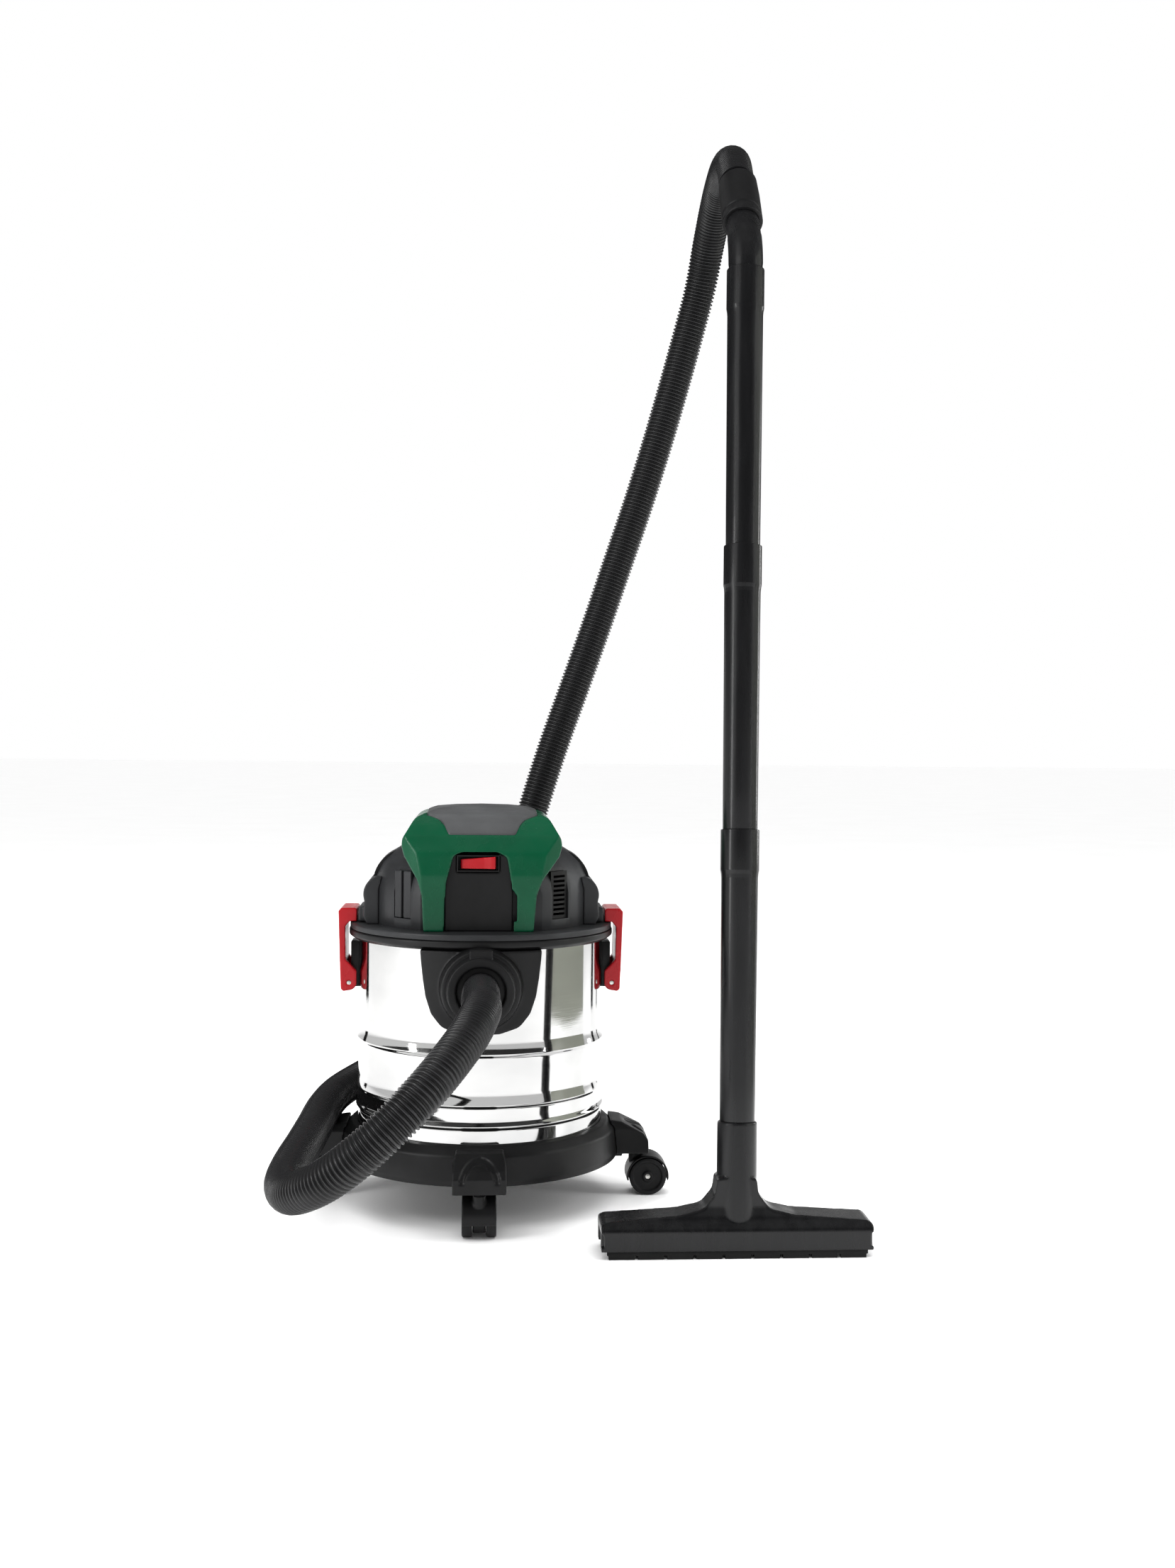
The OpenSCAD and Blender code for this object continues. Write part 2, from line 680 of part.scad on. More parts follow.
module floor_nozzle() {
    neck_r = 20.4;
    half = nozzle_w / 2;
    nx = wand_foot[0];
    outline = concat([[-half, nozzle_z0], [-half, nozzle_z1 - 8]],
        arc(-half + 8, nozzle_z1 - 8, 8, 180, 90, 4), arc(-neck_r - 22, nozzle_z1 + 22, 22, 270, 350, 5),
        reversed([for (p = arc(-neck_r - 22, nozzle_z1 + 22, 22, 270, 350, 5)) [-p[0], p[1]]]),
        arc(half - 8, nozzle_z1 - 8, 8, 90, 0, 4), [[half, nozzle_z0]]);
    color("dimgray") difference() {
        union() {
            at_machine() translate([nx, 0, 0]) intersection() {
                slab_xz(nozzle_y0, nozzle_y1, outline);
                slab_yz(-half - 1, half + 1, [[nozzle_y0, nozzle_z0], [nozzle_y1, nozzle_z0],
                    [nozzle_y1, 34], [nozzle_y1 + 8 - 16, 42], [nozzle_y1 - 12, 72],
                    [nozzle_y0 + 12, 72], [nozzle_y0 + 8, 42], [nozzle_y0, 30]]);
            }
            at_wand() translate([0, 0, -18]) cylinder(r = neck_r, h = neck_top + 18);
        }
        at_machine() translate([nx, 0, 0]) {
            box([-half + 4, nozzle_y0 + 10, -5], [half - 4, nozzle_y1 - 10, 30]);
            // end notches that let air in along a wall
            for (s = [-1, 1]) translate([s * half, 0, 0])
                box([-8, nozzle_y0 + 14, -5], [8, nozzle_y1 - 14, 20]);
        }
        at_wand() {
            translate([0, 0, -20]) cylinder(r = bore_r, h = 200);
            translate([0, 0, neck_top - spigot - 1]) cylinder(r = 17, h = 60);
        }
        at_machine() box([nx - 60, -300, -30], [nx + 60, -100, nozzle_z0]);
    }
}
module nozzle_lips() {
    nx = wand_foot[0];
    teeth = 9;
    pitch = (nozzle_w - 12) / teeth;
    color("black") at_machine() for (y = [nozzle_y0 + 2, nozzle_y1 - 7]) {
        box([nx - nozzle_w / 2 + 6, y, 4], [nx + nozzle_w / 2 - 6, y + 5, nozzle_z0]);
        for (i = [0:teeth - 1]) translate([nx - nozzle_w / 2 + 6 + i * pitch, 0, 0])
            box([1.5, y, 0], [pitch - 1.5, y + 5, 4]);
    }
}

// ---------------------------------------------------------------- hose
function spline(a, b, c, d, t) = 0.5 * ((2 * b) + (c - a) * t + (2 * a - 5 * b + 4 * c - d) * t * t
    + (3 * b - a - 3 * c + d) * t * t * t);
function unit(v) = v / norm(v);
last = len(hose_route) - 1;
function route(i) = i < 0 ? 2 * hose_route[0] - hose_route[1]
    : i > last ? 2 * hose_route[last] - hose_route[last - 1] : hose_route[i];
hose_line = concat([for (i = [0:last - 1]) for (k = [0:hose_steps - 1])
    spline(route(i - 1), route(i), route(i + 1), route(i + 2), k / hose_steps)], [hose_route[last]]);
rings = len(hose_line);
// The hose leaves the connector along -Y and enters the cuff along its axis
cuff_dir = [0.0111, 0.6155, 0.788];
function heading(i) = i == 0 ? [0, -1, 0] : i == rings - 1 ? -unit(cuff_dir)
    : unit(hose_line[i + 1] - hose_line[i - 1]);
function square_to(u, t) = unit(u - (u * t) * t);
hose_side = [for (i = 0, u = [1, 0, 0]; i < rings;
    i = i + 1, u = i < rings ? square_to(u, heading(i)) : u) u];

module hose() {
    points = [for (i = [0:rings - 1]) for (k = [0:hose_sides - 1])
        let (a = 360 * k / hose_sides, u = hose_side[i], v = cross(heading(i), u))
        hose_line[i] + hose_r * (cos(a) * u + sin(a) * v)];
    walls = [for (i = [0:rings - 2]) for (k = [0:hose_sides - 1])
        let (a = i * hose_sides + k, b = i * hose_sides + (k + 1) % hose_sides)
        for (f = [[a, b + hose_sides, b], [a, a + hose_sides, b + hose_sides]]) f];
    color("darkslategray") at_machine() polyhedron(points, concat(walls,
        [[for (k = [0:hose_sides - 1]) k]],
        [[for (k = [hose_sides - 1:-1:0]) (rings - 1) * hose_sides + k]]), convexity = 10);
}

// ---------------------------------------------------------------- parts
tank();
tank_collar();
base_ring();
base_screws();
inlet_shield();
inlet_gasket();
inlet_deflector();
latch_brackets();
latch_pins();
hose();
front_caster_bracket();
left_caster_bracket();
right_caster_bracket();
rear_caster_bracket();
front_caster_fork();
left_caster_fork();
right_caster_fork();
rear_caster_fork();
front_caster_axle();
left_caster_axle();
right_caster_axle();
rear_caster_axle();
front_caster_wheels();
left_caster_wheels();
right_caster_wheels();
rear_caster_wheels();
hose_connector();
latch_left();
latch_right();
head_base();
head_gasket();
head_screws();
motor_housing();
side_cover_left();
side_cover_right();
side_trims();
green_cover();
front_panel();
top_cap();
vent_grilles();
blower_port();
cable_gland();
switch_housing();
rocker_switch();
fan_case();
motor_stator();
motor_bearings();
motor_rotor();
float_cage();
float_ball();
filter_cartridge();
filter_cap();
floor_nozzle();
nozzle_lips();
lower_tube();
middle_tube();
upper_tube();
handle_tube();
hose_cuff();
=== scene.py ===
# Shop vacuum: a polished steel tank with a lift-off motor head, a ribbed hose and a wand.
import bpy, bmesh, json, math
from mathutils import Matrix, Vector

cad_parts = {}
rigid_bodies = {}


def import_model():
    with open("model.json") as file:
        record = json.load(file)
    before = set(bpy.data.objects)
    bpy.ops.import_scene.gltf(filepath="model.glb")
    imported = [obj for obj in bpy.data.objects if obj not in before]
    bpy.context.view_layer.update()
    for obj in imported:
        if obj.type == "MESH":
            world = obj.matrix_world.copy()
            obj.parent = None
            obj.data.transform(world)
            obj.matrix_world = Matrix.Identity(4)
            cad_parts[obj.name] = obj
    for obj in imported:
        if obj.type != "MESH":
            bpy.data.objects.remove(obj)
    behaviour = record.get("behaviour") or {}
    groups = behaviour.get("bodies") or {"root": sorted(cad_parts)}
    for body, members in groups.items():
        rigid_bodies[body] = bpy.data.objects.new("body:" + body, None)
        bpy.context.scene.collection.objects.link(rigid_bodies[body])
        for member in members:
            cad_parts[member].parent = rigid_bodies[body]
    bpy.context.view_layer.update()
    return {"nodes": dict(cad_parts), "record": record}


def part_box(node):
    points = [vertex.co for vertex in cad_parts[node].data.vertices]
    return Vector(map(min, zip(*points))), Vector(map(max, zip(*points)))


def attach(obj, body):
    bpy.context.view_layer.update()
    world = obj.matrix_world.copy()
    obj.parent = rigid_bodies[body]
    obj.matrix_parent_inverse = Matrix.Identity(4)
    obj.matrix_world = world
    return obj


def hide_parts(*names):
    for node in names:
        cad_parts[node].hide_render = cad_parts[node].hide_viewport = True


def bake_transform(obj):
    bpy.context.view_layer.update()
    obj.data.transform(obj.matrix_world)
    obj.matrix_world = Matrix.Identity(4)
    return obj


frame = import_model()
nodes = frame["nodes"]
scene = bpy.context.scene
for spare in [o for o in scene.objects if o.type in {"CAMERA", "LIGHT"} or o.name == "Cube"]:
    bpy.data.objects.remove(spare)


def middle(node):
    low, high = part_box(node)
    return (low + high) / 2


axis = middle("tank")


def at(x, y, z):
    """A place in millimetres from the tank's axis and the floor."""
    return Vector((axis.x + x / 1000, axis.y + y / 1000, z / 1000))


# ---------------------------------------------------------------- camera and light
cam = bpy.data.objects.new("camera", bpy.data.cameras.new("camera"))
scene.collection.objects.link(cam)
scene.camera = cam
cam.data.sensor_width = 36.0
cam.data.lens = 37.43
turn, dip, lean = 0.06429, 0.02866, 0.00985
ahead = Vector((math.sin(turn) * math.cos(dip), math.cos(turn) * math.cos(dip), -math.sin(dip)))
right = Vector((math.cos(turn), -math.sin(turn), 0))
up = right.cross(ahead)
right, up = (math.cos(lean) * right + math.sin(lean) * up,
             math.cos(lean) * up - math.sin(lean) * right)
basis = Matrix((right, up, -ahead)).transposed().to_4x4()
cam.matrix_world = Matrix.Translation(at(0, -1857.6, 522.2)) @ basis

world = bpy.data.worlds.new("studio")
scene.world = world
world.use_nodes = True
world.node_tree.nodes["Background"].inputs["Color"].default_value = (1.0, 1.0, 1.0, 1)
scene.view_settings.view_transform = "Standard"
scene.view_settings.gamma = 0.86


def softbox(name, place, aim, size, power, tint=(1, 1, 1)):
    light = bpy.data.lights.new(name, "AREA")
    light.shape, light.size, light.size_y = "RECTANGLE", size[0], size[1]
    light.energy, light.color = power, tint
    lamp = bpy.data.objects.new(name, light)
    lamp.location = place
    lamp.rotation_euler = (Vector(aim) - Vector(place)).to_track_quat("-Z", "Y").to_euler()
    scene.collection.objects.link(lamp)


softbox("key_left", (-2.4, -1.6, 1.9), (0, 0, 0.45), (0.7, 2.2), 60)
softbox("top_back", (-0.4, 1.3, 2.8), (0, 0, 0.5), (2.4, 1.4), 46)
softbox("strip_right", (2.2, -0.6, 1.2), (0.1, 0, 0.5), (0.22, 2.2), 22)
softbox("overhead", (0.2, -0.9, 3.2), (0, 0, 0.2), (3.0, 2.0), 46)


def unseen(card, look):
    """A card that only mirrors and gloss can see."""
    card.data.materials.append(look)
    card.visible_camera = card.visible_diffuse = card.visible_shadow = False


def flag(name, angle, distance, width, low, high, look):
    """A flat card standing round the tank: degrees from the front, then metres."""
    a = math.radians(angle)
    mid = Vector((axis.x + distance * math.sin(a), axis.y - distance * math.cos(a), 0))
    side = Vector((math.cos(a), math.sin(a), 0)) * width / 2
    foot_z, head_z = Vector((0, 0, low)), Vector((0, 0, high))
    corners = [mid - side + foot_z, mid + side + foot_z, mid + side + head_z, mid - side + head_z]
    mesh = bpy.data.meshes.new(name)
    mesh.from_pydata(corners, [], [(0, 1, 2, 3)])
    card = bpy.data.objects.new(name, mesh)
    scene.collection.objects.link(card)
    unseen(card, look)


# ---------------------------------------------------------------- materials
class Look:
    """A material whose colour, roughness and bump come from its own nodes."""

    def __init__(self, name, colour, roughness, metallic=0.0, coat=0.0, specular=0.5):
        self.mat = bpy.data.materials.new(name)
        self.mat.use_nodes = True
        self.tree = self.mat.node_tree
        self.shader = self.tree.nodes["Principled BSDF"]
        self.shader.inputs["Metallic"].default_value = metallic
        self.shader.inputs["Coat Weight"].default_value = coat
        self.shader.inputs["Coat Roughness"].default_value = 0.12
        self.shader.inputs["Specular IOR Level"].default_value = specular
        self.shader.inputs["Base Color"].default_value = (*colour, 1)
        self.shader.inputs["Roughness"].default_value = roughness
        self.place = self.tree.nodes.new("ShaderNodeTexCoord")
        self.bump = None

    def noise(self, scale, stretch=(1, 1, 1), detail=3.0, soft=0.55):
        shift = self.tree.nodes.new("ShaderNodeMapping")
        shift.inputs["Scale"].default_value = stretch
        self.tree.links.new(self.place.outputs["Object"], shift.inputs["Vector"])
        grain = self.tree.nodes.new("ShaderNodeTexNoise")
        grain.inputs["Scale"].default_value = scale
        grain.inputs["Detail"].default_value = detail
        grain.inputs["Roughness"].default_value = soft
        self.tree.links.new(shift.outputs["Vector"], grain.inputs["Vector"])
        return grain.outputs["Fac"]

    def spread(self, value, low, high, start=0.3, end=0.7):
        span = self.tree.nodes.new("ShaderNodeMapRange")
        for key, number in (("From Min", start), ("From Max", end), ("To Min", low), ("To Max", high)):
            span.inputs[key].default_value = number
        self.tree.links.new(value, span.inputs["Value"])
        return span.outputs["Result"]

    def colours(self, value, first, second):
        mix = self.tree.nodes.new("ShaderNodeMix")
        mix.data_type = "RGBA"
        mix.inputs["A"].default_value = (*first, 1)
        mix.inputs["B"].default_value = (*second, 1)
        self.tree.links.new(value, mix.inputs["Factor"])
        self.tree.links.new(mix.outputs["Result"], self.shader.inputs["Base Color"])

    def rough(self, value):
        self.tree.links.new(value, self.shader.inputs["Roughness"])

    def relief(self, value, depth, strength=1.0):
        node = self.tree.nodes.new("ShaderNodeBump")
        node.inputs["Distance"].default_value = depth
        node.inputs["Strength"].default_value = strength
        self.tree.links.new(value, node.inputs["Height"])
        if self.bump:
            self.tree.links.new(self.bump.outputs["Normal"], node.inputs["Normal"])
        self.tree.links.new(node.outputs["Normal"], self.shader.inputs["Normal"])
        self.bump = node


def moulded_plastic(name, colour, rough, grain=0.00006, pitch=1400, coat=0.0, shade=0.25, specular=0.5):
    """Injection-moulded plastic: a fine spark-eroded grain, faint flow marks and handling marks."""
    look = Look(name, colour, rough, coat=coat, specular=specular)
    pale = tuple(min(1, c * (1 + shade) + 0.002) for c in colour)
    deep = tuple(c * (1 - shade) for c in colour)
    look.colours(look.spread(look.noise(14, detail=5), 0, 1), deep, pale)
    look.rough(look.spread(look.noise(38, (1, 1, 0.6), 4), rough - 0.06, rough + 0.08))
    look.relief(look.noise(pitch, detail=2), grain, 0.6)
    look.relief(look.noise(9, detail=1), 0.0006, 0.25)
    return look.mat


def polished_sheet(name):
    """Mirror-polished stainless sheet: rolling lines round the drum and a slight waviness."""
    look = Look(name, (0.83, 0.835, 0.84), 0.06, metallic=1.0)
    look.colours(look.spread(look.noise(6, (1, 1, 2.5), 4), 0, 1), (0.49, 0.49, 0.49), (0.58, 0.58, 0.575))
    look.rough(look.spread(look.noise(30, (1, 1, 60), 5), 0.035, 0.10))
    look.relief(look.noise(26, (1, 1, 50), 3), 0.00002, 0.35)
    look.relief(look.noise(5, (1, 1, 0.5), 1), 0.0016, 0.35)
    return look.mat


def ribbed_flex(name, painted_groove_shade, crest):
    """Flexible black hose: darker between its ribs with painted shade, rubbed smoother on their crests."""
    look = Look(name, crest, 0.3, specular=0.5)
    height = look.tree.nodes.new("ShaderNodeAttribute")
    height.attribute_name = "rib_height"
    # the colour runs from painted shade in the grooves up to the hose's own black on the crests
    look.colours(height.outputs["Fac"], painted_groove_shade, crest)
    look.rough(look.spread(height.outputs["Fac"], 0.55, 0.24, 0.0, 1.0))
    look.relief(look.noise(900, detail=2), 0.00004, 0.6)
    return look.mat


def drawn_tube(name, colour):
    """Satin black tube with faint lines along its length."""
    look = Look(name, colour, 0.27, coat=0.05, specular=0.42)
    pale = tuple(c * 1.5 for c in colour)
    look.colours(look.spread(look.noise(120, (1, 1, 0.02), 4), 0, 1), colour, pale)
    look.rough(look.spread(look.noise(60, (1, 1, 0.05), 5), 0.20, 0.34))
    look.relief(look.noise(420, (1, 1, 0.01), 3), 0.00005, 0.45)
    look.relief(look.noise(7, (1, 1, 1.4), 2), 0.0005, 0.3)
    return look.mat


def plated_steel(name):
    look = Look(name, (0.62, 0.62, 0.60), 0.28, metallic=1.0)
    look.colours(look.spread(look.noise(90), 0, 1), (0.50, 0.50, 0.48), (0.72, 0.71, 0.68))
    look.rough(look.spread(look.noise(300, detail=4), 0.22, 0.42))
    look.relief(look.noise(900), 0.00003, 0.5)
    return look.mat


def fleece(name):
    look = Look(name, (0.78, 0.76, 0.70), 0.92)
    look.colours(look.spread(look.noise(420, detail=6), 0, 1), (0.66, 0.63, 0.56), (0.84, 0.82, 0.77))
    look.shader.inputs["Sheen Weight"].default_value = 0.3
    look.relief(look.noise(1500, detail=6), 0.0003, 0.8)
    return look.mat


STEEL = polished_sheet("polished_sheet")
BLACK = moulded_plastic("black_moulding", (0.0065, 0.0065, 0.007), 0.38, specular=0.32)
DARK = moulded_plastic("anthracite_moulding", (0.026, 0.027, 0.029), 0.42, specular=0.36)
GREY = moulded_plastic("grey_moulding", (0.062, 0.064, 0.066), 0.44, specular=0.36)
GREEN = moulded_plastic("green_gloss", (0.0012, 0.072, 0.032), 0.24, 0.00002, 500,
                        coat=0.10, shade=0.10, specular=0.30)
RED = moulded_plastic("red_gloss", (0.33, 0.005, 0.011), 0.26, 0.00002, 500,
                      coat=0.12, shade=0.10, specular=0.3)
TUBE = drawn_tube("tube_satin", (0.0065, 0.0066, 0.0072))
# the first colour is painted shade for the grooves between the ribs, the second the hose's own black
HOSE = ribbed_flex("hose_flex", (0.0035, 0.0035, 0.0038), (0.016, 0.016, 0.017))
RUBBER = moulded_plastic("soft_rubber", (0.006, 0.006, 0.006), 0.62, 0.00012, 700, specular=0.3)
TREAD = moulded_plastic("wheel_tread", (0.008, 0.008, 0.0085), 0.50, 0.00010, 800, specular=0.3)
PLATED = plated_steel("zinc_plate")
FLEECE = fleece("pleated_fleece")
ORANGE = moulded_plastic("float_gloss", (0.75, 0.27, 0.04), 0.30, 0.00002, 500)
CASTING = Look("die_casting", (0.62, 0.62, 0.63), 0.45, metallic=1.0)
CASTING.rough(CASTING.spread(CASTING.noise(160, detail=5), 0.38, 0.60))
CASTING.relief(CASTING.noise(700, detail=4), 0.00012, 0.6)
CASTING = CASTING.mat
STACK = Look("lamination_stack", (0.24, 0.235, 0.23), 0.5, metallic=0.8)
STACK.rough(STACK.spread(STACK.noise(200, (1, 1, 30), 4), 0.40, 0.65))
STACK.relief(STACK.noise(60, (0.02, 0.02, 40), 2), 0.0003, 0.7)
STACK = STACK.mat
floor_look = Look("pale_floor", (0.9, 0.9, 0.9), 0.6)
floor_look.colours(floor_look.spread(floor_look.noise(3), 0, 1), (0.96, 0.96, 0.96), (0.98, 0.98, 0.98))

SLOTS = {"polished_steel": STEEL, "black_plastic": BLACK, "anthracite_plastic": DARK, "grey_plastic": GREY,
         "green_plastic": GREEN, "red_plastic": RED, "tube_plastic": TUBE, "hose_plastic": HOSE,
         "steel_pin": PLATED, "wheel_plastic": TREAD, "black_rubber": RUBBER, "filter_fabric": FLEECE,
         "float_plastic": ORANGE, "cast_aluminium": CASTING, "motor_steel": STACK}
slot_of = {s["node"]: s["material_slot"] for s in frame["record"]["subparts"]}
body_of = {n: b for b, ns in frame["record"]["behaviour"]["bodies"].items() for n in ns}
for name, cad in nodes.items():
    cad.data.materials.clear()
    cad.data.materials.append(SLOTS[slot_of[name]])


# ---------------------------------------------------------------- making pieces
def smooth(mesh, angle=32):
    """Smooth shading, with the edges sharper than the angle kept crisp."""
    form = bmesh.new()
    form.from_mesh(mesh)
    for face in form.faces:
        face.smooth = True
    for edge in form.edges:
        edge.smooth = len(edge.link_faces) == 2 and edge.calc_face_angle(0) < math.radians(angle)
    form.to_mesh(mesh)
    form.free()


def add_piece(name, mesh, material, body, stands_for=()):
    mesh.materials.clear()
    mesh.materials.append(material)
    piece = bpy.data.objects.new(name, mesh)
    scene.collection.objects.link(piece)
    if stands_for:
        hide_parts(*stands_for)
    if body:
        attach(piece, body)
    return piece


def evaluated(piece, name):
    """The piece's mesh with its modifiers applied; the piece itself goes."""
    mesh = bpy.data.meshes.new_from_object(piece.evaluated_get(bpy.context.evaluated_depsgraph_get()))
    mesh.name = name
    bpy.data.objects.remove(piece)
    return mesh


def cad_copy(names):
    """One welded mesh of these CAD nodes, flat faces joined into whole ones."""
    form = bmesh.new()
    for n in names:
        form.from_mesh(nodes[n].data)
    bmesh.ops.remove_doubles(form, verts=form.verts, dist=2e-6)
    bmesh.ops.dissolve_limit(form, angle_limit=math.radians(0.6), verts=form.verts, edges=form.edges)
    mesh = bpy.data.meshes.new("work")
    form.to_mesh(mesh)
    form.free()
    mesh.materials.clear()
    return mesh


def temporary(mesh):
    """An object to work on, which a later step takes away."""
    piece = bpy.data.objects.new("work", mesh)
    scene.collection.objects.link(piece)
    return piece


def cast(solid, voxel, passes, name="cast"):
    """A solid as a moulding, its edges rounded as a tool leaves them."""
    skin = solid.modifiers.new("skin", "REMESH")
    skin.mode, skin.voxel_size, skin.use_smooth_shade = "VOXEL", voxel, True
    ease = solid.modifiers.new("ease", "SMOOTH")
    ease.factor, ease.iterations = 0.5, passes
    return evaluated(solid, name)


def in_place_of(node, name, mesh):
    """The mesh in place of a CAD node, with the node's own body and material."""
    return add_piece(name, mesh, SLOTS[slot_of[node]], body_of[node], [node])


def soften(node, voxel, passes):
    """A CAD node as a moulding."""
    name = node + "_moulding"
    return in_place_of(node, name, cast(temporary(cad_copy([node])), voxel, passes, name))


def bevelled(node, width, segments=2):
    """A CAD node with its edges broken."""
    piece = temporary(cad_copy([node]))
    cut = piece.modifiers.new("edges", "BEVEL")
    cut.width, cut.segments, cut.limit_method = width, segments, "ANGLE"
    cut.angle_limit, cut.harden_normals = math.radians(30), False
    mesh = evaluated(piece, node + "_piece")
    smooth(mesh, 40)
    return in_place_of(node, node + "_piece", mesh)


def rounded(points, radius, steps=4, closed=False):
    """The outline with each corner turned on a radius (a number, or one for each point)."""
    out, count = [], len(points)
    for i, p in enumerate(points):
        r = radius[i] if isinstance(radius, (list, tuple)) else radius
        if r <= 0 or (not closed and i in (0, count - 1)):
            out.append(p)
            continue
        a, b, c = Vector(points[i - 1]), Vector(p), Vector(points[(i + 1) % count])
        u, v = (a - b), (c - b)
        half = u.angle(v) / 2
        back = min(r / math.tan(half), u.length * 0.48, v.length * 0.48)
        u, v = b + u.normalized() * back, b + v.normalized() * back
        for k in range(steps + 1):
            t = k / steps
            out.append(tuple((1 - t) ** 2 * u + 2 * t * (1 - t) * b + t ** 2 * v))
    return out


def lathe(outline, place, sides=192, sharp=32):
    """A closed outline of (radius, height) in millimetres, turned about the place's Z axis."""
    form = bmesh.new()
    rings = []
    for r, z in outline:
        if r < 1e-6:
            rings.append([form.verts.new((0, 0, z / 1000))])
        else:
            rings.append([form.verts.new((r / 1000 * math.cos(2 * math.pi * k / sides),
                                          r / 1000 * math.sin(2 * math.pi * k / sides), z / 1000))
                          for k in range(sides)])
    for a, b in zip(rings, rings[1:] + rings[:1]):
        if len(a) == 1 and len(b) == 1:
            continue
        for k in range(sides):
            n = (k + 1) % sides
            if len(a) == 1:
                form.faces.new((a[0], b[n], b[k]))
            elif len(b) == 1:
                form.faces.new((a[k], a[n], b[0]))
            else:
                form.faces.new((a[k], a[n], b[n], b[k]))
    bmesh.ops.remove_doubles(form, verts=form.verts, dist=1e-7)
    bmesh.ops.recalc_face_normals(form, faces=form.faces)
    form.transform(place)
    mesh = bpy.data.meshes.new("turned")
    form.to_mesh(mesh)
    form.free()
    smooth(mesh, sharp)
    return mesh


on_axis = Matrix.Translation(at(0, 0, 0))


def prism(outline, low, high, across="Y", place=on_axis):
    """A solid of this outline between two distances along an axis, in millimetres.
    The outline is (x, z) across Y, (y, z) across X and (x, y) across Z."""
    order = {"X": (2, 0, 1), "Y": (0, 2, 1), "Z": (0, 1, 2)}[across]
    form = bmesh.new()
    ends = [[form.verts.new([(a, b, t)[i] / 1000 for i in order]) for a, b in outline] for t in (low, high)]
    form.faces.new(ends[0])
    form.faces.new(ends[1])
    for k in range(len(outline)):
        n = (k + 1) % len(outline)
        form.faces.new((ends[0][k], ends[0][n], ends[1][n], ends[1][k]))
    bmesh.ops.recalc_face_normals(form, faces=form.faces)
    form.transform(place)
    mesh = bpy.data.meshes.new("prism")
    form.to_mesh(mesh)
    form.free()
    return temporary(mesh)


def combined(base, *steps):
    """The base solid after (what, other) steps; the others go."""
    for what, other in steps:
        step = base.modifiers.new(what, "BOOLEAN")
        step.operation, step.object, step.solver = what, other, "EXACT"
    mesh = evaluated(base, "solid")
    for _, other in steps:
        bpy.data.objects.remove(other)
    return temporary(mesh)


def drum_shape(radius, low, high):
    """A plain cylinder on the tank's axis."""
    return temporary(lathe([(0, low), (radius, low), (radius, high), (0, high)], on_axis, 160))


def mirrored(half):
    """An outline from its right half, given from bottom to top."""
    return half + [(-x, z) for x, z in half[::-1]]


# ---------------------------------------------------------------- tank, collar and base
bead_rows, bead_half, bead_out = (185, 131, 108), 5.0, 2.4


def drum_wall(radius, step=1.0):
    """The wall from top to bottom, with its rolled beads as smooth swells."""
    rows, z = [], 300.0
    while z >= 81:
        swell = sum(bead_out * math.cos(math.pi / 2 * (z - b) / bead_half) ** 2
                    for b in bead_rows if abs(z - b) < bead_half)
        rows.append((radius + swell, z))
        z -= 0.5 if any(abs(z - b) < bead_half + 1 for b in bead_rows) else 6 * step
    return rows


drum_outline = ([(0, 73)] + [(130, 73), (134, 73.6), (136.6, 76), (137.8, 79)] + drum_wall(138)[::-1]
                + drum_wall(136.8) + [(136.6, 80), (135.4, 77), (132, 74.4), (0, 74.2)])
add_piece("drum", lathe(drum_outline, on_axis, 256, 50), STEEL, "tank", ["tank"])

collar_outline = rounded([(138, 296), (144, 296), (148.7, 299.5), (148.7, 306),
                          (133, 306), (133, 300), (138, 300)],
                         [0.3, 1.5, 2.5, 1.8, 0.8, 0.3, 0.3], closed=True)
add_piece("drum_collar", lathe(collar_outline, on_axis, 224), BLACK, "tank", ["tank_collar"])
skirt_outline = rounded([(138.2, 89), (145, 88), (154, 80), (157, 55), (157, 49), (154, 49), (153.5, 69),
                         (50, 69), (50, 73), (132, 73), (138.2, 79.5)],
                        [0.8, 3, 6, 4, 1.2, 0.6, 2, 0.6, 0.6, 1, 1], closed=True)
add_piece("base_skirt", lathe(skirt_outline, on_axis, 224), BLACK, "tank", ["base_ring"])

rim_outline = rounded([(30, 310), (30, 313), (147.6, 313), (147.6, 306.4), (132, 306.4), (132, 292),
                       (129, 292), (129, 309), (54, 309), (54, 299), (51, 299), (51, 310)],
                      [0.5, 0.5, 1.8, 1.0, 0.3, 0.8, 0.8, 1, 1, 0.8, 0.8, 1], closed=True)
add_piece("head_rim", lathe(rim_outline, on_axis, 224), DARK, "motor_head",
          ["head_base"])

# ---------------------------------------------------------------- inlet and latches
shield_half = rounded([(0, 208), (20, 208.5), (41, 215), (52.5, 229), (58.5, 247), (61.5, 266), (63.5, 284),
                       (64.5, 296), (0, 296)],
                      [0, 12, 16, 16, 16, 10, 2, 1, 0])
bore = Matrix.Translation(at(0, 0, 257)) @ Matrix.Rotation(math.radians(90), 4, "X")
flange = [(0, 130), (46, 130), (43, 152), (41.5, 160), (39.5, 161), (0, 161)]
mouth = [(0, 100), (31, 100), (31, 170), (0, 170)]
shield = combined(
    prism(mirrored(shield_half), -152, -95), ("INTERSECT", drum_shape(150, 200, 300)),
    ("UNION", temporary(lathe(flange, bore, 96))), ("DIFFERENCE", drum_shape(138.1, 190, 310)),
    ("DIFFERENCE", temporary(lathe(mouth, bore, 96))))
add_piece("inlet_shield_moulding", cast(shield, 0.0011, 8), BLACK, "tank", ["inlet_shield"])
soften("hose_connector", 0.0009, 6)
soften("latch_left", 0.0008, 6)
soften("latch_right", 0.0008, 6)
bevelled("latch_brackets", 0.0008)
bevelled("latch_pins", 0.0004)

